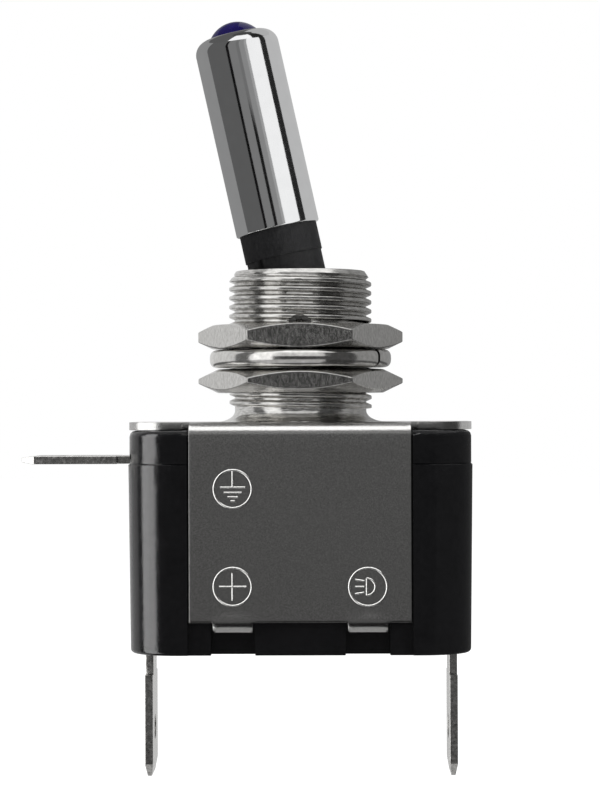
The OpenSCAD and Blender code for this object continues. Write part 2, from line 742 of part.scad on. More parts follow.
module plunger_spring() {
    per_turn = 10;
    mean_r = plunger_r - spring_wire / 2 - 0.08;
    foot = -plunger_top + spring_wire / 2 + 0.02;
    climb = spring_len - spring_wire - 0.04;
    n = spring_turns * per_turn;
    color("gray") on_lever() wire([for (i = [0 : n])
        [mean_r * cos(360 * i / per_turn), mean_r * sin(360 * i / per_turn), foot + climb * i / n]],
        spring_wire);
}

// ---- contacts ----

// two flat arms with a trough between them, in which the plunger's nose travels
module rocker_profile() {
    half = rocker_len / 2;
    under_r = trough_r + rocker_t;
    lip = asin(trough_x / trough_r);
    under_lip = acos((trough_z - arm_foot) / under_r);
    polygon(concat([[-half, arm_foot], [-half, arm_top]],
        arc([0, trough_z], trough_r, 270 - lip, 270 + lip, 24), [[half, arm_top], [half, arm_foot]],
        arc([0, trough_z], under_r, 270 + under_lip, 270 - under_lip, 24)));
}

module rocker() {
    color("#c98a4b") on_rocker() difference() {
        strip(rocker_w) rocker_profile();
        rotate([90, 0, 0]) cylinder(r = edge_r + slide, h = far, center = true);
        translate([contact_x, 0, 0]) cylinder(r = shank_r + rivet_gap, h = far);
    }
}

module moving_contact() {
    head_r = contact_d / 2;
    color("#d9d9e0") on_rocker() translate([contact_x, 0, 0]) rotate_extrude() polygon([[0, face_z],
        [head_r, face_z], [head_r, arm_foot], [shank_r, arm_foot], [shank_r, arm_top], [tail_r, arm_top],
        [tail_r - 0.15, arm_top + tail_h], [0, arm_top + tail_h]]);
}

module fixed_contact() {
    head_r = contact_d / 2;
    color("#d9d9e0") on_plate() translate([closed_x, 0, load_top]) rotate_extrude() polygon(concat(
        [[0, -blade_t], [shank_r, -blade_t], [shank_r, 0], [head_r, 0]],
        arc([0, head_h + dome_h - dome_r], dome_r, acos(head_r / dome_r), 90, 6)));
}

bracket();
front_nut();
lock_washer();
back_nut();
cover();
base();
pivot_pin();
lever_stem();
lever_sleeve();
lamp();
anode_lead();
cathode_lead();
lamp_resistor();
ground_wire();
lamp_wire();
plunger();
plunger_spring();
rocker();
moving_contact();
fixed_contact();
power_terminal();
load_terminal();
ground_terminal();
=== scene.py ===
import math

import bmesh
import bpy
from mathutils import Matrix, Vector


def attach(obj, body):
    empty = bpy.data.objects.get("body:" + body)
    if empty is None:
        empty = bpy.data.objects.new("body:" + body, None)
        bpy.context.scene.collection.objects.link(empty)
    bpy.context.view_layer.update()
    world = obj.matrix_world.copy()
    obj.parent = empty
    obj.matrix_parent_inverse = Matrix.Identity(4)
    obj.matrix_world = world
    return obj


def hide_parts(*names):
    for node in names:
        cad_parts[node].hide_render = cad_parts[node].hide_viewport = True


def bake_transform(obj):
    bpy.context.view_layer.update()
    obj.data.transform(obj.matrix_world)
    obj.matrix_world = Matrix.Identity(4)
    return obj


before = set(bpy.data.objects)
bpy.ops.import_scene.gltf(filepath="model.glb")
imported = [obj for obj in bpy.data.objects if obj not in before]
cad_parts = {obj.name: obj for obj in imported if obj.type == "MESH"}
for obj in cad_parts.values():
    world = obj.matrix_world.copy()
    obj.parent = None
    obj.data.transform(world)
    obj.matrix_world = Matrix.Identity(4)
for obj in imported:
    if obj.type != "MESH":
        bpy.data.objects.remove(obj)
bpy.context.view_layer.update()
print("frame loaded")

mm = 0.001
scene = bpy.context.scene

# camera, floor and light

view = {"distance": 220, "height": -7.2, "yaw": 0.6, "roll": 0.2, "lens": 118.95,
        "shiftX": -0.0008, "shiftY": 0.0156}

cameraData = bpy.data.cameras.new("camera")
cameraData.sensor_width = 36
cameraData.lens = view["lens"]
cameraData.shift_x = view["shiftX"]
cameraData.shift_y = view["shiftY"]
cameraData.clip_start = 0.01
camera = bpy.data.objects.new("camera", cameraData)
yaw = math.radians(view["yaw"])
camera.location = (view["distance"] * math.sin(yaw) * mm, -view["distance"] * math.cos(yaw) * mm,
                   view["height"] * mm)
camera.rotation_euler = (math.pi / 2, math.radians(view["roll"]), yaw)
scene.collection.objects.link(camera)
scene.camera = camera
scene.view_settings.view_transform = "Standard"


def emissionFor(material, strength, seenStrength):
    # one strength for light on the object, another for what is seen directly, mirrored or through glass
    nodes, links = material.node_tree.nodes, material.node_tree.links
    nodes.clear()
    path = nodes.new("ShaderNodeLightPath")
    seen = nodes.new("ShaderNodeMath")
    seen.operation = "ADD"
    seen.use_clamp = True
    seenAll = nodes.new("ShaderNodeMath")
    seenAll.operation = "ADD"
    seenAll.use_clamp = True
    links.new(path.outputs["Is Camera Ray"], seen.inputs[0])
    links.new(path.outputs["Is Glossy Ray"], seen.inputs[1])
    links.new(seen.outputs[0], seenAll.inputs[0])
    links.new(path.outputs["Is Transmission Ray"], seenAll.inputs[1])
    level = nodes.new("ShaderNodeMapRange")
    level.inputs["To Min"].default_value = strength
    level.inputs["To Max"].default_value = seenStrength
    links.new(seenAll.outputs[0], level.inputs["Value"])
    return nodes, links, level.outputs["Result"]


world = bpy.data.worlds.new("studio")
world.use_nodes = True
world.cycles.sampling_method = "NONE"
scene.world = world
nodes, links, level = emissionFor(world, 0.55, 1.0)
background = nodes.new("ShaderNodeBackground")
background.inputs["Color"].default_value = (1, 1, 1, 1)
output = nodes.new("ShaderNodeOutputWorld")
links.new(level, background.inputs["Strength"])
links.new(background.outputs[0], output.inputs[0])

# what each kind of surface mirrors: azimuth from the camera's side, elevation and brightness
studio = {
    "chrome": [
        (-180, -90, -50, 40, 0.26), (-90, -32, -50, 40, 0.105), (-32, -25, -50, 40, 0.004),
        (-25, -4, -50, 40, 0.19), (-4, 4, -50, 5, 0.008), (-4, 4, 5, 6.4, 0.07), (-4, 4, 6.4, 40, 0.16),
        (4, 18, -50, 40, 0.25), (18, 25, -50, 40, 0.34), (25, 68, -50, 40, 0.93), (68, 88, -50, 40, 0.02),
        (88, 180, -50, 40, 0.5), (-180, -34, 40, 75, 0.1), (-34, 46, 40, 75, 1.0), (46, 92, 40, 75, 0.02),
        (92, 180, 40, 75, 0.45), (-180, 180, 75, 90, 0.06), (-180, 180, -90, -50, 0.2),
    ],
    "nickel": [
        (-180, -90, -12, 42, 0.75), (-90, -66, -12, 42, 0.16), (-66, -34, -12, 42, 1.3),
        (-34, 32, -12, 9, 0.06), (-34, 32, 9, 42, 0.8), (32, 76, -12, 42, 0.07), (76, 180, -12, 42, 0.3),
        (-180, -66, -50, -12, 0.14), (-66, 32, -50, -12, 0.5), (32, 76, -50, -12, 0.05),
        (76, 180, -50, -12, 0.1), (-90, 90, 42, 75, 1.3), (90, 270, 42, 75, 0.42),
        (-180, 180, 75, 90, 0.4), (-180, 180, -90, -50, 0.12),
    ],
    "steel": [
        (-180, -110, -60, 42, 0.7), (-110, -38, -60, 42, 2.4), (-38, 38, -14, 12, 0.14),
        (-38, 38, 12, 42, 0.35), (-38, 38, -60, -14, 0.02), (38, 90, -60, 42, 0.08),
        (90, 180, -60, 42, 0.72), (-90, 90, 42, 80, 2.3), (90, 270, 42, 80, 0.4), (-180, 180, 80, 90, 0.5),
        (-180, 180, -90, -60, 0.5),
    ],
    "plastic": [
        (-180, -104, -50, 42, 0.75), (-104, -89, -50, 42, 0.15), (-89, -52, -50, 42, 4.8),
        (-52, 30, -50, 42, 0.06), (30, 180, -50, 42, 0.1), (-180, 180, 42, 75, 0.5),
        (-180, 180, 75, 90, 0.3), (-180, 180, -90, -50, 0.1),
    ],
    "matte": [
        (-180, 0, -50, 75, 0.12), (0, 100, -50, 75, 0.5), (100, 180, -50, 75, 0.2),
        (-180, 180, 75, 90, 0.5), (-180, 180, -90, -50, 0.1),
    ],
}
mirrored = {kind: bpy.data.collections.new(kind + "Pieces") for kind in studio}


def makeCard(name, kind, card, radius):
    first, last, low, high, level = card
    shape = bmesh.new()
    columns = max(2, round((last - first) / 6))
    rows = max(2, round((high - low) / 10))
    grid = []
    for row in range(rows + 1):
        rise = math.radians(low + (high - low) * row / rows)
        line = []
        for column in range(columns + 1):
            turn = math.radians(first + (last - first) * column / columns)
            line.append(shape.verts.new((radius * math.cos(rise) * math.sin(turn),
                                         -radius * math.cos(rise) * math.cos(turn),
                                         radius * math.sin(rise))))
        grid.append(line)
    for row in range(rows):
        for column in range(columns):
            shape.faces.new((grid[row][column], grid[row][column + 1],
                             grid[row + 1][column + 1], grid[row + 1][column]))
    bmesh.ops.remove_doubles(shape, verts=shape.verts, dist=1e-6)
    mesh = bpy.data.meshes.new(name)
    shape.to_mesh(mesh)
    shape.free()
    material = bpy.data.materials.new(name)
    material.use_nodes = True
    nodes, links = material.node_tree.nodes, material.node_tree.links
    glow = nodes.new("ShaderNodeEmission")
    glow.inputs["Strength"].default_value = level
    surface = glow
    if kind:
        clear = nodes.new("ShaderNodeBsdfTransparent")
        surface = nodes.new("ShaderNodeAddShader")
        links.new(glow.outputs[0], surface.inputs[0])
        links.new(clear.outputs[0], surface.inputs[1])
    links.new(surface.outputs[0], nodes["Material Output"].inputs["Surface"])
    mesh.materials.append(material)
    piece = bpy.data.objects.new(name, mesh)
    piece.visible_camera = False
    piece.visible_diffuse = False
    piece.visible_shadow = False
    piece.visible_transmission = False
    if kind:
        piece.light_linking.receiver_collection = mirrored[kind]
    scene.collection.objects.link(piece)
    return piece


for layer, (kind, table) in enumerate(studio.items()):
    for number, card in enumerate(table):
        makeCard(f"{kind}Card{number}", kind, card, 0.6 + 0.02 * layer)
makeCard("darkTent", None, (-180, 180, -90, 90, 0), 0.75)

floorSize = {"half": 1.2, "height": -43}
shape = bmesh.new()
corners = [shape.verts.new((x * floorSize["half"], y * floorSize["half"], floorSize["height"] * mm))
           for x, y in ((-1, -1), (1, -1), (1, 1), (-1, 1))]
shape.faces.new(corners)
floorMesh = bpy.data.meshes.new("floor")
shape.to_mesh(floorMesh)
shape.free()
paper = bpy.data.materials.new("paper")
paper.use_nodes = True
nodes, links, level = emissionFor(paper, 0.0, 0.72)
dull = nodes.new("ShaderNodeBsdfDiffuse")
dull.inputs["Color"].default_value = (0.5, 0.5, 0.5, 1)
glow = nodes.new("ShaderNodeEmission")
both = nodes.new("ShaderNodeAddShader")
output = nodes.new("ShaderNodeOutputMaterial")
links.new(level, glow.inputs["Strength"])
links.new(dull.outputs[0], both.inputs[0])
links.new(glow.outputs[0], both.inputs[1])
links.new(both.outputs[0], output.inputs["Surface"])
floorMesh.materials.append(paper)
floor = bpy.data.objects.new("floor", floorMesh)
floor.visible_glossy = False
scene.collection.objects.link(floor)

lamps = [
    {"name": "softLeft", "at": (-420, -330, 330), "size": 400, "power": 1.3},
    {"name": "softRight", "at": (430, -300, 260), "size": 400, "power": 0.9},
    {"name": "softTop", "at": (0, 60, 520), "size": 500, "power": 0.9},
]
for lamp in lamps:
    lampData = bpy.data.lights.new(lamp["name"], "AREA")
    lampData.shape = "SQUARE"
    lampData.size = lamp["size"] * mm
    lampData.energy = lamp["power"]
    light = bpy.data.objects.new(lamp["name"], lampData)
    light.location = Vector(lamp["at"]) * mm
    light.rotation_euler = (-light.location).to_track_quat("-Z", "Y").to_euler()
    light.visible_glossy = False
    scene.collection.objects.link(light)
print("stage set")

# mesh helpers


def smoothByAngle(mesh, sharpAngle):
    mesh.polygons.foreach_set("use_smooth", [True] * len(mesh.polygons))
    mesh.set_sharp_from_angle(angle=math.radians(sharpAngle))


def toMesh(name, shape, sharpAngle=35):
    bmesh.ops.remove_doubles(shape, verts=shape.verts, dist=1e-7)
    bmesh.ops.recalc_face_normals(shape, faces=shape.faces)
    mesh = bpy.data.meshes.new(name)
    shape.to_mesh(mesh)
    shape.free()
    smoothByAngle(mesh, sharpAngle)
    return mesh


def lathe(profile, steps=96, place=Matrix.Identity(4)):
    # turns a closed section of (radius, height) in millimetres round Z
    shape = bmesh.new()
    rings = []
    for step in range(steps):
        turn = 2 * math.pi * step / steps
        rings.append([shape.verts.new(place @ Vector((radius * math.cos(turn) * mm,
                                                      radius * math.sin(turn) * mm, height * mm)))
                      for radius, height in profile])
    for step in range(steps):
        near, far = rings[step], rings[(step + 1) % steps]
        for i in range(len(profile)):
            j = (i + 1) % len(profile)
            shape.faces.new((near[i], far[i], far[j], near[j]))
    return shape


def arc(centerR, centerZ, radius, start, end, steps):
    return [(centerR + radius * math.cos(math.radians(start + (end - start) * i / steps)),
             centerZ + radius * math.sin(math.radians(start + (end - start) * i / steps)))
            for i in range(steps + 1)]


def cadCopy(node):
    shape = bmesh.new()
    shape.from_mesh(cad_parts[node].data)
    bmesh.ops.remove_doubles(shape, verts=shape.verts, dist=2e-7)
    bmesh.ops.dissolve_limit(shape, angle_limit=math.radians(0.15), verts=shape.verts, edges=shape.edges)
    return shape


def evaluated(piece):
    graph = bpy.context.evaluated_depsgraph_get()
    mesh = bpy.data.meshes.new_from_object(piece.evaluated_get(graph))
    bpy.data.objects.remove(piece)
    return mesh


def working(mesh):
    piece = bpy.data.objects.new("working", mesh)
    scene.collection.objects.link(piece)
    return piece


def combine(mesh, tool, operation="DIFFERENCE"):
    piece, cutter = working(mesh), working(tool)
    step = piece.modifiers.new("cut", "BOOLEAN")
    step.operation = operation
    step.solver = "EXACT"
    step.object = cutter
    result = evaluated(piece)
    bpy.data.objects.remove(cutter)
    return result


def withModifiers(mesh, *steps):
    piece = working(mesh)
    for kind, values in steps:
        step = piece.modifiers.new(kind.lower(), kind)
        for key, value in values.items():
            setattr(step, key, value)
    return evaluated(piece)


def put(name, mesh, material, body, slot, *replaced):
    mesh.materials.clear()
    mesh.materials.append(material)
    mesh.name = name
    piece = bpy.data.objects.new(name, mesh)
    scene.collection.objects.link(piece)
    mirrored[mirrorKind[material.name]].objects.link(piece)
    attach(piece, body)
    if replaced:
        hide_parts(*replaced)
    return piece


# shared surface effects


def makeGroup(name, inputs, outputs):
    group = bpy.data.node_groups.new(name, "ShaderNodeTree")
    for label, kind, value in inputs:
        socket = group.interface.new_socket(label, in_out="INPUT", socket_type=kind)
        socket.default_value = value
    for label, kind in outputs:
        group.interface.new_socket(label, in_out="OUTPUT", socket_type=kind)
    entry = group.nodes.new("NodeGroupInput")
    leave = group.nodes.new("NodeGroupOutput")
    return group, entry.outputs, leave.inputs


# fine grain: a stretched noise spread over its whole range
grain, into, out = makeGroup(
    "surfaceGrain",
    [("Vector", "NodeSocketVector", (0, 0, 0)), ("Stretch", "NodeSocketVector", (1, 1, 1)),
     ("Scale", "NodeSocketFloat", 4000), ("Detail", "NodeSocketFloat", 4),
     ("Contrast", "NodeSocketFloat", 2)],
    [("Value", "NodeSocketFloat")])
stretch = grain.nodes.new("ShaderNodeVectorMath")
stretch.operation = "MULTIPLY"
noise = grain.nodes.new("ShaderNodeTexNoise")
centered = grain.nodes.new("ShaderNodeMath")
centered.operation = "SUBTRACT"
centered.inputs[1].default_value = 0.5
spread = grain.nodes.new("ShaderNodeMath")
spread.operation = "MULTIPLY_ADD"
spread.inputs[2].default_value = 0.5
spread.use_clamp = True
grain.links.new(into["Vector"], stretch.inputs[0])
grain.links.new(into["Stretch"], stretch.inputs[1])
grain.links.new(stretch.outputs[0], noise.inputs["Vector"])
grain.links.new(into["Scale"], noise.inputs["Scale"])
grain.links.new(into["Detail"], noise.inputs["Detail"])
grain.links.new(noise.outputs[0], centered.inputs[0])
grain.links.new(centered.outputs[0], spread.inputs[0])
grain.links.new(into["Contrast"], spread.inputs[1])
grain.links.new(spread.outputs[0], out["Value"])

# small dark pits scattered by a cell pattern
pits, into, out = makeGroup(
    "finePits",
    [("Vector", "NodeSocketVector", (0, 0, 0)), ("Scale", "NodeSocketFloat", 5000),
     ("Size", "NodeSocketFloat", 0.25), ("Share", "NodeSocketFloat", 0.4)],
    [("Mask", "NodeSocketFloat")])
cells = pits.nodes.new("ShaderNodeTexVoronoi")
near = pits.nodes.new("ShaderNodeMapRange")
near.inputs["To Min"].default_value = 1
near.inputs["To Max"].default_value = 0
chosen = pits.nodes.new("ShaderNodeMath")
chosen.operation = "LESS_THAN"
split = pits.nodes.new("ShaderNodeSeparateColor")
mask = pits.nodes.new("ShaderNodeMath")
mask.operation = "MULTIPLY"
pits.links.new(into["Vector"], cells.inputs["Vector"])
pits.links.new(into["Scale"], cells.inputs["Scale"])
pits.links.new(cells.outputs["Distance"], near.inputs["Value"])
pits.links.new(into["Size"], near.inputs["From Max"])
pits.links.new(cells.outputs["Color"], split.inputs[0])
pits.links.new(split.outputs[0], chosen.inputs[0])
pits.links.new(into["Share"], chosen.inputs[1])
pits.links.new(near.outputs[0], mask.inputs[0])
pits.links.new(chosen.outputs[0], mask.inputs[1])
pits.links.new(mask.outputs[0], out["Mask"])


mirrorKind = {}


def makeFinish(name, mirrors, dark, light, rough, metallic=0.0, scale=4000, stretch=(1, 1, 1), detail=4,
               contrast=2, bump=0.1, bumpDepth=0.02, pitScale=0, pitSize=0.25, pitShare=0.4, pitBump=-0.5,
               coarse=0, coarseMix=0.5, **constants):
    # base colour between two shades, roughness between two values, and a bump, all from the same grain
    material = bpy.data.materials.new(name)
    material.use_nodes = True
    mirrorKind[name] = mirrors
    nodes, links = material.node_tree.nodes, material.node_tree.links
    shader = nodes["Principled BSDF"]
    shader.inputs["Metallic"].default_value = metallic
    for socket, value in constants.items():
        shader.inputs[socket.replace("_", " ")].default_value = value
    place = nodes.new("ShaderNodeTexCoord")
    fine = nodes.new("ShaderNodeGroup")
    fine.node_tree = grain
    links.new(place.outputs["Object"], fine.inputs["Vector"])
    fine.inputs["Stretch"].default_value = stretch
    fine.inputs["Scale"].default_value = scale
    fine.inputs["Detail"].default_value = detail
    fine.inputs["Contrast"].default_value = contrast
    value = fine.outputs["Value"]
    if coarse:
        broad = nodes.new("ShaderNodeGroup")
        broad.node_tree = grain
        links.new(place.outputs["Object"], broad.inputs["Vector"])
        broad.inputs["Scale"].default_value = coarse
        broad.inputs["Detail"].default_value = 3
        blend = nodes.new("ShaderNodeMix")
        blend.inputs["Factor"].default_value = coarseMix
        links.new(value, blend.inputs["A"])
        links.new(broad.outputs["Value"], blend.inputs["B"])
        value = blend.outputs["Result"]
    height = value
    if pitScale:
        dots = nodes.new("ShaderNodeGroup")
        dots.node_tree = pits
        links.new(place.outputs["Object"], dots.inputs["Vector"])
        dots.inputs["Scale"].default_value = pitScale
        dots.inputs["Size"].default_value = pitSize
        dots.inputs["Share"].default_value = pitShare
        sunk = nodes.new("ShaderNodeMath")
        sunk.operation = "MULTIPLY_ADD"
        sunk.inputs[1].default_value = pitBump
        links.new(dots.outputs["Mask"], sunk.inputs[0])
        links.new(value, sunk.inputs[2])
        height = sunk.outputs[0]
    shades = nodes.new("ShaderNodeValToRGB")
    shades.color_ramp.elements[0].color = (*dark, 1)
    shades.color_ramp.elements[1].color = (*light, 1)
    links.new(height, shades.inputs[0])
    links.new(shades.outputs[0], shader.inputs["Base Color"])
    dulling = nodes.new("ShaderNodeMapRange")
    dulling.inputs["To Min"].default_value = rough[0]
    dulling.inputs["To Max"].default_value = rough[1]
    links.new(value, dulling.inputs["Value"])
    links.new(dulling.outputs[0], shader.inputs["Roughness"])
    raised = nodes.new("ShaderNodeBump")
    raised.inputs["Strength"].default_value = bump
    raised.inputs["Distance"].default_value = bumpDepth * mm
    links.new(height, raised.inputs["Height"])
    links.new(raised.outputs[0], shader.inputs["Normal"])
    return material


platedSteel = makeFinish("platedSteel", "steel", (0.38, 0.377, 0.37), (0.56, 0.555, 0.545), (0.17, 0.27),
                         1.0, 9000, bump=0.4, bumpDepth=0.008, pitScale=6000, pitShare=0.3, pitSize=0.3)
nickelThread = makeFinish("nickelThread", "nickel", (0.44, 0.435, 0.42), (0.8, 0.79, 0.77), (0.12, 0.24),
                          1.0, 4200, (0.35, 0.35, 1.6), bump=0.25, bumpDepth=0.015, pitScale=2600,
                          pitShare=0.25, pitBump=-0.8)
nickelHex = makeFinish("nickelHex", "nickel", (0.5, 0.495, 0.48), (0.76, 0.75, 0.73), (0.13, 0.24), 1.0,
                       7500, (1, 1, 0.4), bump=0.55, bumpDepth=0.008, pitScale=7000, pitShare=0.25,
                       pitBump=0.7)
nickelRing = makeFinish("nickelRing", "nickel", (0.6, 0.59, 0.57), (0.8, 0.79, 0.77), (0.1, 0.2), 1.0, 2500,
                        bump=0.1, bumpDepth=0.015)
# the raised signs are the frame's plated steel made lighter: a painted highlight on the stamped lines
signSteelPaintedHighlight = makeFinish("signSteelPaintedHighlight", "steel", (0.7, 0.695, 0.68), (0.85, 0.845, 0.83), (0.2, 0.3), 1.0, 6000,
                       bump=0.2, bumpDepth=0.01)
brightChrome = makeFinish("brightChrome", "chrome", (0.88, 0.885, 0.89), (0.93, 0.935, 0.94), (0.06, 0.09),
                          1.0, 900, bump=0.015, bumpDepth=0.01)
blackMoulding = makeFinish("blackMoulding", "plastic", (0.004, 0.004, 0.0045), (0.009, 0.009, 0.01),
                           (0.13, 0.22), 0.0, 2600, bump=0.16, bumpDepth=0.02, coarse=500, coarseMix=0.4)
leverPlastic = makeFinish("leverPlastic", "matte", (0.008, 0.008, 0.009), (0.02, 0.02, 0.021), (0.36, 0.55),
                          0.0, 3200, bump=0.5, bumpDepth=0.02)
tinPlate = makeFinish("tinPlate", "steel", (0.36, 0.355, 0.34), (0.78, 0.77, 0.75), (0.16, 0.36), 1.0, 3600,
                      bump=0.4, bumpDepth=0.02, pitScale=4200, pitShare=0.4, pitSize=0.35, pitBump=-0.9)
lampTint = makeFinish("lampTint", "chrome", (0.025, 0.016, 0.2), (0.035, 0.022, 0.27), (0.02, 0.05), 0.0,
                      500, bump=0.02, bumpDepth=0.01, Transmission_Weight=0.7, IOR=1.5)
lampCupMetal = makeFinish("lampCupMetal", "nickel", (0.6, 0.6, 0.62), (0.8, 0.8, 0.82), (0.15, 0.3),
                          1.0, 3000)
pinSteel = makeFinish("pinSteel", "steel", (0.45, 0.44, 0.43), (0.7, 0.69, 0.67), (0.15, 0.3),
                      1.0, 4000, bump=0.2)
tinnedWire = makeFinish("tinnedWire", "steel", (0.5, 0.5, 0.49), (0.75, 0.75, 0.73), (0.2, 0.35),
                        1.0, 3000, bump=0.2)
resistorLacquer = makeFinish("resistorLacquer", "matte", (0.5, 0.36, 0.2), (0.62, 0.47, 0.28), (0.3, 0.45),
                             0.0, 1800)
blackSleeving = makeFinish("blackSleeving", "matte", (0.01, 0.01, 0.01), (0.02, 0.02, 0.02), (0.4, 0.55),
                           0.0, 2500)
redSleeving = makeFinish("redSleeving", "matte", (0.3, 0.012, 0.01), (0.42, 0.02, 0.015), (0.35, 0.5),
                         0.0, 2500)
whiteNylon = makeFinish("whiteNylon", "matte", (0.62, 0.6, 0.53), (0.74, 0.72, 0.65), (0.35, 0.5), 0.0,
                        2000, Subsurface_Weight=0.1)
springSteel = makeFinish("springSteel", "nickel", (0.3, 0.3, 0.3), (0.55, 0.55, 0.54), (0.2, 0.35),
                         1.0, 4000, bump=0.2)
contactCopper = makeFinish("contactCopper", "nickel", (0.55, 0.26, 0.14), (0.75, 0.4, 0.25), (0.2, 0.4),
                           1.0, 2500)
contactSilver = makeFinish("contactSilver", "nickel", (0.7, 0.69, 0.66), (0.88, 0.87, 0.85), (0.15, 0.3),
                           1.0, 3000)
print("materials made")

# folded frame

sheet = {"thick": 0.65, "top": -8.0, "skinY": 7.7, "bend": 1.05, "skirtHalf": 8.95, "skirtDrop": 16.15,
         "tabX": 5.45, "tabHalf": 1.6, "tabBend": 0.9, "tabReach": 1.9, "earEnd": 14.05, "earSide": 6.8,
         "earRadius": 3.5, "reliefHalf": 0.6, "reliefIn": 5.6, "edge": 0.13, "dent": 0.09, "dentHalf": 1.9,
         "dentRise": 0.95, "bore": 5.25, "boreFrom": -20, "fine": 1.2}
flatEnd = sheet["skinY"] - sheet["bend"]
bendEnd = flatEnd + sheet["bend"] * math.pi / 2
skirtEnd = bendEnd + sheet["skirtDrop"] - sheet["bend"]
curlEnd = skirtEnd + sheet["tabBend"] * math.pi / 2
tabEnd = curlEnd + sheet["tabReach"] - sheet["tabBend"]


def folded(x, along):
    # place of a point of the flat pattern, by its distance along the sheet's outer face
    side = -1 if along < 0 else 1
    run = abs(along)
    if run <= flatEnd:
        y, down = run, 0
    elif run <= bendEnd:
        turn = (run - flatEnd) / sheet["bend"]
        y, down = flatEnd + sheet["bend"] * math.sin(turn), sheet["bend"] * (1 - math.cos(turn))
    elif run <= skirtEnd:
        y, down = sheet["skinY"], sheet["bend"] + run - bendEnd
    elif run <= curlEnd:
        turn = (run - skirtEnd) / sheet["tabBend"]
        y = sheet["skinY"] - sheet["tabBend"] * (1 - math.cos(turn))
        down = sheet["skirtDrop"] + sheet["tabBend"] * math.sin(turn)
    else:
        y = sheet["skinY"] - sheet["tabBend"] - (run - curlEnd)
        down = sheet["skirtDrop"] + sheet["tabBend"]
    # the sheet swells a little over each bent tab
    sideways = (abs(x) - sheet["tabX"]) / sheet["dentHalf"]
    away = sideways ** 2 + ((run - skirtEnd) / sheet["dentRise"]) ** 2
    y += sheet["dent"] * max(0, 1 - away) ** 1.5
    return Vector((x, side * y, sheet["top"] - down)) * mm


def spaced(start, end, step):
    count = max(1, math.ceil((end - start) / step - 0.001))
    return [start + (end - start) * i / count for i in range(count + 1)]


def joined(*stops, step):
    line = [stops[0]]
    for start, end in zip(stops, stops[1:]):
        line += spaced(start, end, step)[1:]
    return line


def patch(shape, lines):
    grid = [[shape.verts.new(point) for point in line] for line in lines]
    for low, high in zip(grid, grid[1:]):
        for i in range(len(low) - 1):
            shape.faces.new((low[i], low[i + 1], high[i + 1], high[i]))


def earReach(y):
    if abs(y) <= sheet["earSide"] - sheet["earRadius"]:
        return sheet["earEnd"]
    over = abs(y) - (sheet["earSide"] - sheet["earRadius"])
    return sheet["earEnd"] - sheet["earRadius"] + math.sqrt(max(0, sheet["earRadius"] ** 2 - over ** 2))


shape = bmesh.new()
tabLow, tabHigh = sheet["tabX"] - sheet["tabHalf"], sheet["tabX"] + sheet["tabHalf"]
half = sheet["skirtHalf"]
columns = joined(-half, -tabHigh, -tabLow, tabLow, tabHigh, half, step=0.42)
rows = joined(0, sheet["reliefIn"], flatEnd, step=0.8) + spaced(flatEnd, bendEnd, 0.21)[1:]
rows += joined(bendEnd, skirtEnd - sheet["fine"], step=0.9)[1:]
rows += spaced(skirtEnd - sheet["fine"], skirtEnd, 0.2)[1:]
curlRows = spaced(skirtEnd, curlEnd, 0.2) + spaced(curlEnd, tabEnd, 0.5)[1:]
for side in (-1, 1):
    patch(shape, [[folded(x, side * run) for x in columns[::side]] for run in rows])
    for middle in (-1, 1):
        tabColumns = [x for x in columns if tabLow - 0.001 <= x * middle <= tabHigh + 0.001]
        patch(shape, [[folded(x, side * run) for x in tabColumns[::side]] for run in curlRows])
reliefX = half + sheet["reliefHalf"]
earRows = joined(0, sheet["reliefIn"], step=0.8)
earAll = earRows + spaced(sheet["reliefIn"], sheet["earSide"], 0.15)[1:]
for side in (-1, 1):
    for end in (-1, 1):
        sweep = side * end
        bridge = [half, reliefX][::sweep]
        patch(shape, [[Vector((end * x, side * y, sheet["top"])) * mm for x in bridge] for y in earRows])
        ear = []
        for y in earAll:
            stops = [reliefX + (earReach(y) - reliefX) * i / 8 for i in range(9)][::sweep]
            ear.append([Vector((end * x, side * y, sheet["top"])) * mm for x in stops])
        patch(shape, ear)
bmesh.ops.remove_doubles(shape, verts=shape.verts, dist=2e-6)
bmesh.ops.recalc_face_normals(shape, faces=shape.faces)
topFace = max(shape.faces, key=lambda face: face.calc_center_median().z)
if topFace.normal.z < 0:
    bmesh.ops.reverse_faces(shape, faces=shape.faces)
sheetMesh = bpy.data.meshes.new("sheet")
shape.to_mesh(sheetMesh)
shape.free()
sheetMesh = withModifiers(
    sheetMesh,
    ("SOLIDIFY", {"thickness": sheet["thick"] * mm, "offset": -1, "use_even_offset": True}),
    ("BEVEL", {"width": sheet["edge"] * mm, "segments": 2, "limit_method": "ANGLE",
               "angle_limit": math.radians(50)}))
bore = toMesh("bore", lathe([(0, sheet["boreFrom"]), (sheet["bore"], sheet["boreFrom"]), (sheet["bore"], 0),
                             (0, 0)], 64))
sheetMesh = combine(sheetMesh, bore)
smoothByAngle(sheetMesh, 50)
put("frameSheet", sheetMesh, platedSteel, "housing", "plated_frame", "bracket")
print("frame folded")

# threaded neck

neck = {"crest": 5.925, "root": 5.475, "pitch": 0.75, "bore": 4.484, "top": 4.5, "foot": -8.0,
        "flare": 1.6, "flareRise": 0.9, "leadDrop": 0.85, "leadIn": 0.58, "mouth": 0.35, "drawn": 0.5,
        "recess": 1.05, "pinHole": 0.71, "pinHeight": -0.3, "recessFrom": 4.62, "cutReach": 9,
        "collar": 5.35, "sunk": 0.2, "flareSteps": 12, "flareCut": 0.8, "mouthEdge": 0.05,
        "mouthFall": 0.03}
foot = neck["foot"]
under = foot - sheet["thick"]
leadFoot = neck["top"] - neck["leadDrop"]
rootMeets = leadFoot + neck["leadDrop"] * (neck["crest"] - neck["root"]) / neck["leadIn"]
neckSection = [(neck["bore"], neck["top"] - neck["mouth"])]
neckSection += [(neck["bore"], under + neck["drawn"])]
neckSection += arc(neck["bore"] + neck["drawn"], under + neck["drawn"], neck["drawn"], 180, 270, 6)[1:]
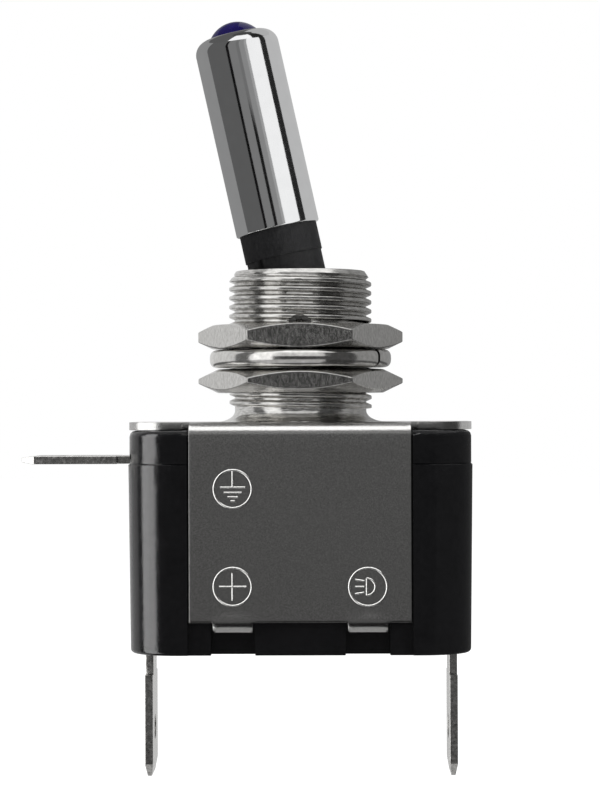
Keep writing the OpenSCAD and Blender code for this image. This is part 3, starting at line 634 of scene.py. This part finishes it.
neckSection += [(neck["collar"], under), (neck["collar"], foot - neck["sunk"]),
                (neck["root"] + neck["flare"], foot - neck["sunk"])]
for i in range(neck["flareSteps"] + 1):
    turn = math.radians(90 * i / neck["flareSteps"])
    neckSection.append((neck["root"] + neck["flare"] * (1 - math.sin(turn)),
                        foot + neck["flareRise"] * (1 - math.cos(turn))))
neckSection += [(neck["root"], rootMeets),
                (neck["crest"] - neck["leadIn"], neck["top"] - neck["mouthFall"]),
                (neck["crest"] - neck["leadIn"] - neck["mouthEdge"], neck["top"]),
                (neck["bore"] + neck["mouth"], neck["top"])]
shape = lathe(neckSection, 128)
for vert in shape.verts:
    if vert.co.z < (foot + neck["flareCut"]) * mm:  # the flare stops where the sheet starts to bend
        vert.co.y = max(-flatEnd * mm, min(flatEnd * mm, vert.co.y))
neckMesh = toMesh("neck", shape, 40)

acrossY = Matrix.Translation((0, 0, neck["pinHeight"] * mm)) @ Matrix.Rotation(math.pi / 2, 4, "X")


def pinCutter():
    # both recesses and the hole between them
    reach, start = neck["cutReach"], neck["recessFrom"]
    section = [(0, -reach), (neck["recess"], -reach), (neck["recess"], -start), (neck["pinHole"], -start),
               (neck["pinHole"], start), (neck["recess"], start), (neck["recess"], reach), (0, reach)]
    return toMesh("pinCutter", lathe(section, 40, acrossY))


neckMesh = combine(neckMesh, pinCutter())
smoothByAngle(neckMesh, 40)
put("threadedNeck", neckMesh, nickelThread, "housing", "plated_frame")

# a ridge that climbs round the neck, trimmed by the lead-in cone and by flat ends
ridgeForm = {"sunk": 0.1, "footShare": 0.99, "rounding": 0.1, "roundingSteps": 3}
threadTree = bpy.data.node_groups.new("threadRidge", "GeometryNodeTree")
for label, kind, value in (("Crest Radius", "NodeSocketFloat", 5.925 * mm),
                           ("Root Radius", "NodeSocketFloat", 5.475 * mm),
                           ("Pitch", "NodeSocketFloat", 0.75 * mm), ("Foot", "NodeSocketFloat", 0.0),
                           ("Turns", "NodeSocketFloat", 6.0), ("Steps", "NodeSocketInt", 120),
                           ("Crest Flat", "NodeSocketFloat", 0.26 * mm), ("Low", "NodeSocketFloat", 0.0),
                           ("High", "NodeSocketFloat", 4.65 * mm),
                           ("Lead Foot", "NodeSocketFloat", 3.8 * mm),
                           ("Lead Slope", "NodeSocketFloat", 0.68), ("Finish", "NodeSocketMaterial", None)):
    socket = threadTree.interface.new_socket(label, in_out="INPUT", socket_type=kind)
    if value is not None:
        socket.default_value = value
threadTree.interface.new_socket("Geometry", in_out="OUTPUT", socket_type="NodeSocketGeometry")


def geoNode(kind, **settings):
    node = threadTree.nodes.new(kind)
    for key, value in settings.items():
        setattr(node, key, value)
    return node


def geoMath(operation, first, second):
    node = geoNode("ShaderNodeMath", operation=operation)
    for socket, value in zip(node.inputs, (first, second)):
        if isinstance(value, (int, float)):
            socket.default_value = value
        else:
            threadTree.links.new(value, socket)
    return node.outputs[0]


def geoLink(source, target):
    threadTree.links.new(source, target)


given = geoNode("NodeGroupInput").outputs
spiral = geoNode("GeometryNodeCurveSpiral")
middle = geoMath("MULTIPLY", geoMath("ADD", given["Crest Radius"], given["Root Radius"]), 0.5)
geoLink(given["Steps"], spiral.inputs["Resolution"])
geoLink(given["Turns"], spiral.inputs["Rotations"])
geoLink(middle, spiral.inputs["Start Radius"])
geoLink(middle, spiral.inputs["End Radius"])
geoLink(geoMath("MULTIPLY", given["Turns"], given["Pitch"]), spiral.inputs["Height"])
lift = geoNode("GeometryNodeSetPosition")
offset = geoNode("ShaderNodeCombineXYZ")
geoLink(given["Foot"], offset.inputs["Z"])
geoLink(spiral.outputs[0], lift.inputs["Geometry"])
geoLink(offset.outputs[0], lift.inputs["Offset"])
upright = geoNode("GeometryNodeSetCurveNormal", mode="Z_UP")
geoLink(lift.outputs[0], upright.inputs["Curve"])
section = geoNode("GeometryNodeCurvePrimitiveQuadrilateral", mode="TRAPEZOID")
depth = geoMath("SUBTRACT", given["Crest Radius"], given["Root Radius"])
geoLink(geoMath("ADD", depth, ridgeForm["sunk"] * mm), section.inputs["Height"])
geoLink(geoMath("MULTIPLY", given["Pitch"], ridgeForm["footShare"]), section.inputs["Bottom Width"])
geoLink(given["Crest Flat"], section.inputs["Top Width"])
section.inputs["Offset"].default_value = 0
rounded = geoNode("GeometryNodeFilletCurve", mode="POLY")
rounded.inputs["Count"].default_value = ridgeForm["roundingSteps"]
rounded.inputs["Radius"].default_value = ridgeForm["rounding"] * mm
turned = geoNode("GeometryNodeTransform")
turned.inputs["Translation"].default_value = (ridgeForm["sunk"] / 2 * mm, 0, 0)
turned.inputs["Rotation"].default_value = (0, 0, math.pi / 2)
geoLink(section.outputs[0], rounded.inputs["Curve"])
geoLink(rounded.outputs[0], turned.inputs["Geometry"])
swept = geoNode("GeometryNodeCurveToMesh")
swept.inputs["Fill Caps"].default_value = True
geoLink(upright.outputs[0], swept.inputs["Curve"])
geoLink(turned.outputs[0], swept.inputs["Profile Curve"])
where = geoNode("GeometryNodeInputPosition")
parts = geoNode("ShaderNodeSeparateXYZ")
geoLink(where.outputs[0], parts.inputs[0])
flatPart = geoNode("ShaderNodeCombineXYZ")
geoLink(parts.outputs["X"], flatPart.inputs["X"])
geoLink(parts.outputs["Y"], flatPart.inputs["Y"])
reach = geoNode("ShaderNodeVectorMath", operation="LENGTH")
geoLink(flatPart.outputs[0], reach.inputs[0])
height = geoMath("MINIMUM", geoMath("MAXIMUM", parts.outputs["Z"], given["Low"]), given["High"])
over = geoMath("MAXIMUM", geoMath("SUBTRACT", height, given["Lead Foot"]), 0.0)
limit = geoMath("SUBTRACT", given["Crest Radius"], geoMath("MULTIPLY", over, given["Lead Slope"]))
kept = geoMath("DIVIDE", geoMath("MINIMUM", reach.outputs["Value"], limit), reach.outputs["Value"])
trimmed = geoNode("ShaderNodeCombineXYZ")
geoLink(geoMath("MULTIPLY", parts.outputs["X"], kept), trimmed.inputs["X"])
geoLink(geoMath("MULTIPLY", parts.outputs["Y"], kept), trimmed.inputs["Y"])
geoLink(height, trimmed.inputs["Z"])
trim = geoNode("GeometryNodeSetPosition")
geoLink(swept.outputs[0], trim.inputs["Geometry"])
geoLink(trimmed.outputs[0], trim.inputs["Position"])
solid = geoNode("GeometryNodeRealizeInstances")
geoLink(trim.outputs[0], solid.inputs[0])
finish = geoNode("GeometryNodeSetMaterial")
geoLink(solid.outputs[0], finish.inputs["Geometry"])
geoLink(given["Finish"], finish.inputs["Material"])
geoLink(finish.outputs[0], geoNode("NodeGroupOutput").inputs[0])
socketOf = {item.name: item.identifier for item in threadTree.interface.items_tree
            if item.in_out == "INPUT"}

threads = [
    {"name": "threadUpper", "low": 0.05, "high": 4.48, "foot": -0.35, "turns": 7},
    {"name": "threadMiddle", "low": -3.6, "high": -2.0, "foot": -3.85, "turns": 2.8},
    {"name": "threadLower", "low": -6.95, "high": -5.65, "foot": -6.75, "turns": 1.8},
]
for thread in threads:
    carrier = working(bpy.data.meshes.new(thread["name"]))
    step = carrier.modifiers.new("thread", "NODES")
    step.node_group = threadTree
    for label, value in (("Crest Radius", neck["crest"] * mm), ("Root Radius", neck["root"] * mm),
                         ("Pitch", neck["pitch"] * mm), ("Foot", thread["foot"] * mm),
                         ("Turns", float(thread["turns"])), ("Low", thread["low"] * mm),
                         ("High", thread["high"] * mm), ("Lead Foot", leadFoot * mm),
                         ("Finish", nickelThread)):
        step[socketOf[label]] = value
    mesh = evaluated(carrier)
    shape = bmesh.new()
    shape.from_mesh(mesh)
    mesh = toMesh(thread["name"], shape, 30)
    if thread["name"] == "threadUpper":
        mesh = combine(mesh, pinCutter())
        smoothByAngle(mesh, 30)
    put(thread["name"], mesh, nickelThread, "housing", "plated_frame")
    print(thread["name"], len(mesh.polygons), "faces")

# nuts

nuts = [
    {"name": "front_nut", "foot": -1.95, "thick": 1.95, "flats": 14.8, "circle": 14.7, "bore": 5.525},
    {"name": "back_nut", "foot": -5.6, "thick": 1.95, "flats": 14.8, "circle": 13.8, "bore": 5.525},
]
nutCut = {"slope": 26, "corner": 0.22, "edge": 0.05, "entry": 0.3, "faceIn": 0.03, "faceOut": 0.01,
          "edgeShare": 0.45, "midReach": 0.3, "midFall": 0.25}
cornerOffsets = [0, 0.35, 0.7, 1.2, 2.5, 5, 8, 11, 14, 17, 20, 23, 26, 30]


def hexReach(offset, flats):
    # distance from the axis to a hexagon with rounded corners, by the angle from its nearest corner
    inner = (flats / 2 - nutCut["corner"]) / math.cos(math.radians(30))
    turn = math.radians(abs(offset))
    touch = math.atan2(nutCut["corner"] / 2, inner + nutCut["corner"] * math.cos(math.radians(30)))
    if turn < touch:
        return inner * math.cos(turn) + math.sqrt(nutCut["corner"] ** 2 - (inner * math.sin(turn)) ** 2)
    return flats / 2 / math.cos(math.radians(30) - turn)


def makeNut(nut):
    shape = bmesh.new()
    turns = []
    for corner in range(6):
        turns += [(corner * 60 + offset, offset) for offset in [-o for o in cornerOffsets[:0:-1]][1:]]
        turns += [(corner * 60 + offset, offset) for offset in cornerOffsets]
    slope = math.tan(math.radians(nutCut["slope"]))
    edge, bore, entry = nutCut["edge"], nut["bore"], nutCut["entry"]
    circle, thick, foot = nut["circle"] / 2, nut["thick"], nut["foot"]
    faceIn, faceOut = nutCut["faceIn"], nutCut["faceOut"]
    rings = []
    for turn, offset in turns:
        reach = hexReach(offset, nut["flats"])
        fall = (reach - circle) * slope
        near = min(edge, (reach - circle) * nutCut["edgeShare"])
        nearMid, fallMid = near * nutCut["midReach"], edge * nutCut["midFall"]
        # lower half of the section, from the bore to the side, and its mirror image above
        lower = [(bore, entry), (bore + entry, 0), (circle - faceIn, 0), (circle + faceOut, faceOut),
                 (reach - near, fall - near * slope), (reach - nearMid, fall + fallMid),
                 (reach, fall + edge)]
        section = lower + [(r, thick - z) for r, z in lower[::-1]]
        angle = math.radians(turn)
        rings.append([shape.verts.new(Vector((r * math.cos(angle), r * math.sin(angle), foot + z)) * mm)
                      for r, z in section])
    for near, far in zip(rings, rings[1:] + rings[:1]):
        for i in range(len(near)):
            j = (i + 1) % len(near)
            shape.faces.new((near[i], far[i], far[j], near[j]))
    return toMesh(nut["name"], shape, 16)


for nut in nuts:
    mesh = withModifiers(makeNut(nut), ("WEIGHTED_NORMAL", {"keep_sharp": True, "weight": 90}))
    put(nut["name"].replace("_n", "N") + "Solid", mesh, nickelHex, nut["name"], "nickel", nut["name"])
print("nuts made")

# split washer

washer = {"outer": 7.55, "inner": 6.075, "foot": -3.58, "play": 0.05, "thick": 1.5, "split": -30,
          "gap": 2.6, "rise": 0.06, "lump": 0.05, "lumpSteps": 3, "lumpMost": 1.02, "endShare": 0.93,
          "steps": 150, "around": 24, "square": 2.7}
shape = bmesh.new()
rings = []
sweep = 360 - washer["gap"]
halfBand = (washer["outer"] - washer["inner"]) / 2
for step in range(washer["steps"] + 1):
    share = step / washer["steps"]
    turn = math.radians(washer["split"] + washer["gap"] / 2 + sweep * share)
    nearEnd = min(share, 1 - share) * washer["steps"]
    # the ends swell where they were cut, and their edge is broken
    swell = 1 + washer["lump"] * max(0, 1 - nearEnd / washer["lumpSteps"])
    if nearEnd <= 0.5:
        swell = washer["endShare"]
    centerZ = washer["foot"] + washer["play"] + washer["thick"] / 2 - washer["rise"] * (share - 0.5)
    ring = []
    for k in range(washer["around"]):
        around = 2 * math.pi * k / washer["around"]
        cosine, sine = math.cos(around), math.sin(around)
        out = halfBand * min(swell, 1.0) * math.copysign(abs(cosine) ** (2 / washer["square"]), cosine)
        up = (washer["thick"] / 2 * min(swell, washer["lumpMost"])
              * math.copysign(abs(sine) ** (2 / washer["square"]), sine))
        radius = washer["inner"] + halfBand + out
        ring.append(shape.verts.new(Vector((radius * math.cos(turn), radius * math.sin(turn),
                                            centerZ + up)) * mm))
    rings.append(ring)
for near, far in zip(rings, rings[1:]):
    for k in range(washer["around"]):
        after = (k + 1) % washer["around"]
        shape.faces.new((near[k], far[k], far[after], near[after]))
shape.faces.new(rings[0])
shape.faces.new(rings[-1])
put("splitRing", toMesh("splitRing", shape, 50), nickelRing, "housing", "nickel", "lock_washer")
print("washer made")

# moulded body

body = {"depth": 15.4, "corner": 4.0, "parting": -11.43, "coverTop": -8.68, "coverWidth": 28.0,
        "baseWidth": 28.2, "draft": 0.3, "foot": -26.85, "coverEdge": 0.5, "footEdge": 0.35, "lip": 0.08,
        "within": 0.004}


def roundedRing(shape, width, depth, corner, z, steps=14):
    ring = []
    for start, x, y in ((0, 1, 1), (90, -1, 1), (180, -1, -1), (270, 1, -1)):
        for i in range(steps + 1):
            turn = math.radians(start + 90 * i / steps)
            place = Vector((x * (width / 2 - corner) + corner * math.cos(turn),
                            y * (depth / 2 - corner) + corner * math.sin(turn), z))
            ring.append(shape.verts.new(place * mm))
    return ring


def roundedBlock(name, levels):
    # levels, from the foot up: height, width, depth and how far in from that outline
    shape = bmesh.new()
    rings = [roundedRing(shape, width - 2 * inset, depth - 2 * inset, body["corner"] - inset, z)
             for z, width, depth, inset in levels]
    for low, high in zip(rings, rings[1:]):
        for i in range(len(low)):
            j = (i + 1) % len(low)
            shape.faces.new((low[i], low[j], high[j], high[i]))
    shape.faces.new(rings[0][::-1])
    shape.faces.new(rings[-1])
    return toMesh(name, shape, 30)


def edgeLevels(z, width, depth, radius, side, steps=5):
    # the rounding at a block's foot (side -1) or top (side 1)
    levels = []
    for i in range(steps + 1):
        turn = math.radians(90 * i / steps)
        levels.append((z - side * radius * (1 - math.sin(turn)), width, depth,
                       radius * (1 - math.cos(turn))))
    return levels


# the blocks stay just inside the full size
coverWidth, baseWidth = body["coverWidth"] - body["within"], body["baseWidth"] - body["within"]
depth = body["depth"] - body["within"]
footWidth, footDepth = baseWidth - body["draft"], depth - body["draft"] / 2
parting, lip = body["parting"], body["lip"]
coverBlock = roundedBlock("coverBlock", [
    (parting, coverWidth, depth, lip), (parting + lip, coverWidth, depth, 0),
    *edgeLevels(body["coverTop"], coverWidth, depth, body["coverEdge"], 1)])
baseBlock = roundedBlock("baseBlock", [
    *edgeLevels(body["foot"], footWidth, footDepth, body["footEdge"], -1)[::-1],
    (parting - lip, baseWidth, depth, 0), (parting, baseWidth, depth, lip)])

for node, block, title in (("cover", coverBlock, "upperMoulding"), ("base", baseBlock, "lowerMoulding")):
    mesh = combine(toMesh(title, cadCopy(node)), block, "INTERSECT")
    smoothByAngle(mesh, 30)
    mesh = withModifiers(mesh, ("WEIGHTED_NORMAL", {"keep_sharp": True, "weight": 90}))
    put(title, mesh, blackMoulding, "housing", "black_moulding", node)
print("mouldings made")

# lever

lever = {"lean": 12.5, "pivot": -0.3, "sleeveFoot": 8.5, "sleeveTop": 25.07, "sleeve": 3.5, "wall": 0.5,
         "shoulder": 1.2, "hem": 0.15, "endWall": 0.5, "lampRadius": 2.5, "proud": 1.12, "lampPlay": 0.06,
         "lampEdge": 0.05, "inCorner": 0.3, "lipRise": 0.2, "lipIn": 0.1}
leverPlace = (Matrix.Translation((0, 0, lever["pivot"] * mm))
              @ Matrix.Rotation(math.radians(-lever["lean"]), 4, "Y"))
lampHole = math.sqrt(2 * lever["lampRadius"] * lever["proud"] - lever["proud"] ** 2) + lever["lampPlay"]
deep = lever["proud"] + lever["endWall"]
lampHoleIn = math.sqrt(2 * lever["lampRadius"] * deep - deep ** 2) + lever["lampPlay"]
inside = lever["sleeve"] - lever["wall"]
wallEnd = lever["sleeveTop"] - lever["endWall"]
sleeveSection = [(inside, wallEnd - lever["inCorner"]), (inside, lever["sleeveFoot"] + lever["lipRise"]),
                 (inside + lever["lipIn"], lever["sleeveFoot"])]
sleeveSection += arc(lever["sleeve"] - lever["hem"], lever["sleeveFoot"] + lever["hem"], lever["hem"],
                     270, 360, 4)
sleeveSection += arc(lever["sleeve"] - lever["shoulder"], lever["sleeveTop"] - lever["shoulder"],
                     lever["shoulder"], 0, 90, 16)
sleeveSection += [(lampHole + lever["lampEdge"], lever["sleeveTop"]),
                  (lampHole, lever["sleeveTop"] - lever["lampEdge"]), (lampHoleIn, wallEnd),
                  (inside - lever["inCorner"], wallEnd)]
put("chromeSleeve", toMesh("chromeSleeve", lathe(sleeveSection, 144, leverPlace), 40), brightChrome,
    "lever", "bright_chrome", "lever_sleeve")

lampSize = {"seat": 17.59, "flange": 2.9, "flangeThick": 1.0, "radius": 2.5, "height": 8.6,
            "edge": 0.08}
seat = lampSize["seat"]
domeAt = seat + lampSize["height"] - lampSize["radius"]
flange, flangeTop, edge = lampSize["flange"], seat + lampSize["flangeThick"], lampSize["edge"]
lampSection = [(0, seat), (flange - edge, seat), (flange, seat + edge), (flange, flangeTop - edge),
               (flange - edge, flangeTop), (lampSize["radius"], flangeTop)]
lampSection += arc(0, domeAt, lampSize["radius"], 0, 90, 20)
put("lampLens", toMesh("lampLens", lathe(lampSection, 96, leverPlace), 40), lampTint, "lever", "lamp_lens",
    "lamp")
cup = {"foot": 2.4, "well": 3.2, "wellRadius": 0.45, "lip": 4.4, "lipRadius": 0.95, "rim": 4.6,
       "radius": 1.15}
cupSection = [(0, seat + cup["well"]), (cup["wellRadius"], seat + cup["well"]),
              (cup["lipRadius"], seat + cup["lip"]), (cup["radius"], seat + cup["rim"]),
              (cup["radius"], seat + cup["foot"]), (0, seat + cup["foot"])]
put("lampCup", toMesh("lampCup", lathe(cupSection, 8, leverPlace), 20), lampCupMetal, "lever",
    "lamp_lens")

# parts that keep the frame's shape, with smooth rounds

carried = [
    ("lever_stem", "leverStem", leverPlastic, "lever", "lever_plastic"),
    ("pivot_pin", "pivotPin", pinSteel, "housing", "steel_pin"),
    ("anode_lead", "anodeLead", tinnedWire, "lever", "tinned_wire"),
    ("cathode_lead", "cathodeLead", tinnedWire, "lever", "tinned_wire"),
    ("lamp_resistor", "lampResistor", resistorLacquer, "lever", "resistor_body"),
    ("plunger", "plungerNose", whiteNylon, "plunger", "plunger_nylon"),
    ("rocker", "rockerArm", contactCopper, "rocker", "contact_copper"),
    ("moving_contact", "movingContact", contactSilver, "rocker", "contact_silver"),
    ("fixed_contact", "fixedContact", contactSilver, "housing", "contact_silver"),
    ("power_terminal", "powerBlade", tinPlate, "housing", "tinned_blade"),
    ("load_terminal", "loadBlade", tinPlate, "housing", "tinned_blade"),
    ("ground_terminal", "groundBlade", tinPlate, "housing", "tinned_blade"),
]
bladeEdge = 0.05
for node, title, material, bodyName, slotName in carried:
    mesh = toMesh(title, cadCopy(node), 30)
    if node.endswith("terminal"):
        mesh = withModifiers(mesh, ("BEVEL", {
            "width": bladeEdge * mm, "segments": 2, "limit_method": "ANGLE",
            "angle_limit": math.radians(40), "use_clamp_overlap": True, "harden_normals": True}))
    put(title, mesh, material, bodyName, slotName, node)
print("carried parts finished")

# wires and spring, as smooth copies where the frame has them


def bending(node, title, material):
    mesh = toMesh(title, cadCopy(node), 60)
    mesh.materials.append(material)
    piece = bpy.data.objects.new(title, mesh)
    scene.collection.objects.link(piece)
    mirrored[mirrorKind[material.name]].objects.link(piece)
    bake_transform(piece)
    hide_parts(node)


for node, title, material, slotName in (("ground_wire", "groundLead", blackSleeving, "black_insulation"),
                                        ("lamp_wire", "lampLead", redSleeving, "red_insulation")):
    bending(node, title, material)
bending("plunger_spring", "plungerSpring", springSteel)

# signs on the front skirt

sign = {"radius": 1.53, "width": 0.18, "proud": 0.07, "sunk": 0.05}
signSpots = {"earth": (-5.41, -13.38), "plus": (-5.44, -21.25), "lamp": (5.46, -21.28)}


def circlePath(x, z, radius, start=0, end=360, steps=48):
    return arc(x, z, radius, start, end, steps)


def ridge(shape, path, closed=False):
    # a low half-round line on the skirt's face
    wide, high, sunk = sign["width"] / 2, sign["proud"], sign["sunk"]
    section = [(-wide, -sunk), (-wide, 0), (-wide * 0.6, high * 0.75), (0, high), (wide * 0.6, high * 0.75),
               (wide, 0), (wide, -sunk)]
    points = [Vector(point) for point in (path[:-1] if closed else path)]
    rings = []
    for i, point in enumerate(points):
        before = points[i - 1] if closed or i else point
        after = points[(i + 1) % len(points)] if closed or i < len(points) - 1 else point
        along = (after - before).normalized()
        across = Vector((-along.y, along.x))
        rings.append([shape.verts.new(Vector((point.x + across.x * off, -sheet["skinY"] - up,
                                              point.y + across.y * off)) * mm) for off, up in section])
    pairs = zip(rings, rings[1:] + rings[:1]) if closed else zip(rings, rings[1:])
    for near, far in pairs:
        for k in range(len(section)):
            after = (k + 1) % len(section)
            shape.faces.new((near[k], far[k], far[after], near[after]))
    if not closed:
        shape.faces.new(rings[0])
        shape.faces.new(rings[-1])


shape = bmesh.new()
for x, z in signSpots.values():
    ridge(shape, circlePath(x, z, sign["radius"]), True)
x, z = signSpots["earth"]
ridge(shape, [(x, z + 1.45), (x, z + 0.12)])
for half, rise in ((1.0, 0.12), (0.72, -0.3), (0.42, -0.66), (0.18, -0.98)):
    ridge(shape, [(x - half, z + rise), (x + half, z + rise)])
x, z = signSpots["plus"]
ridge(shape, [(x - 1.1, z), (x + 1.1, z)])
ridge(shape, [(x, z - 1.1), (x, z + 1.1)])
x, z = signSpots["lamp"]
ridge(shape, [(x - 0.1, z + 0.68), (x - 0.1, z - 0.68)])
ridge(shape, circlePath(x - 0.1, z, 0.68, -90, 90, 20))
for rise, slant in ((0.46, 0.12), (0, 0), (-0.46, -0.12)):
    ridge(shape, [(x - 0.32, z + rise), (x - 1.05, z + rise + slant)])
# the sign lines take the lighter steel, a painted highlight standing in for light on the relief
put("skirtSigns", toMesh("skirtSigns", shape, 50), signSteelPaintedHighlight, "housing", "plated_frame")
print("signs raised")
